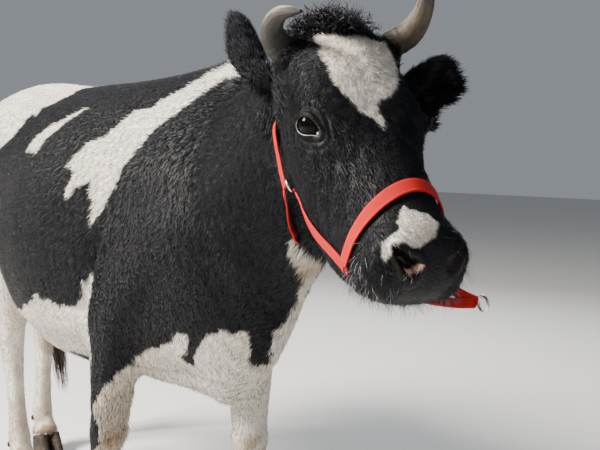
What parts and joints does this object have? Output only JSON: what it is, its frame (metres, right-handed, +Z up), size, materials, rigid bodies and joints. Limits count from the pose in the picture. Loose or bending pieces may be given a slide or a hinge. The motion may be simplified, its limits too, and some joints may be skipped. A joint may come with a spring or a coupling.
{
  "type": "standing cow model",
  "caption": "Life-size model of a horned black and white dairy cow standing with the head turned to the right, wearing a webbing halter.",
  "frame": {"origin": "centre of the underside of the bounding box, on the floor", "axes": "+X along the body towards the head, +Y to the cow's left, +Z up"},
  "size_m": [2.2802, 0.6928, 1.4346],
  "materials": {
    "black_coat": "short black hair with a soft sheen",
    "white_coat": "short creamy white hair",
    "brown_hair": "long dusty brown hair",
    "bare_skin": "bare pinkish skin",
    "eye": "wet dark eye",
    "horn": "ridged grey-brown horn with a dark tip",
    "claw": "dull dark horn",
    "webbing": "coral red woven webbing",
    "halter_ring": "plain steel wire"
  },
  "bodies": {
    "root": {"head": "black_coat", "neck": "black_coat", "trunk": "black_coat", "foreleg_right": "black_coat", "foreleg_left": "black_coat", "ear_right": "black_coat", "ear_left": "black_coat", "poll_tuft": "black_coat", "tail": "black_coat", "hindleg_right": "white_coat", "hindleg_left": "white_coat", "tail_switch": "brown_hair", "udder": "bare_skin", "eye_right": "eye", "eye_left": "eye", "horn_right": "horn", "horn_left": "horn", "hoof_foreleg_right_right": "claw", "dewclaw_foreleg_right_right": "claw", "hoof_foreleg_right_left": "claw", "dewclaw_foreleg_right_left": "claw", "hoof_foreleg_left_right": "claw", "dewclaw_foreleg_left_right": "claw", "hoof_foreleg_left_left": "claw", "dewclaw_foreleg_left_left": "claw", "hoof_hindleg_right_right": "claw", "dewclaw_hindleg_right_right": "claw", "hoof_hindleg_right_left": "claw", "dewclaw_hindleg_right_left": "claw", "hoof_hindleg_left_right": "claw", "dewclaw_hindleg_left_right": "claw", "hoof_hindleg_left_left": "claw", "dewclaw_hindleg_left_left": "claw", "halter_noseband": "webbing", "halter_crown": "webbing", "halter_cheek_right": "webbing", "halter_cheek_left": "webbing", "halter_chin_right": "webbing", "halter_chin_left": "webbing", "halter_ring_right": "halter_ring", "halter_ring_left": "halter_ring", "halter_lead_ring": "halter_ring"}
  },
  "joints": []
}
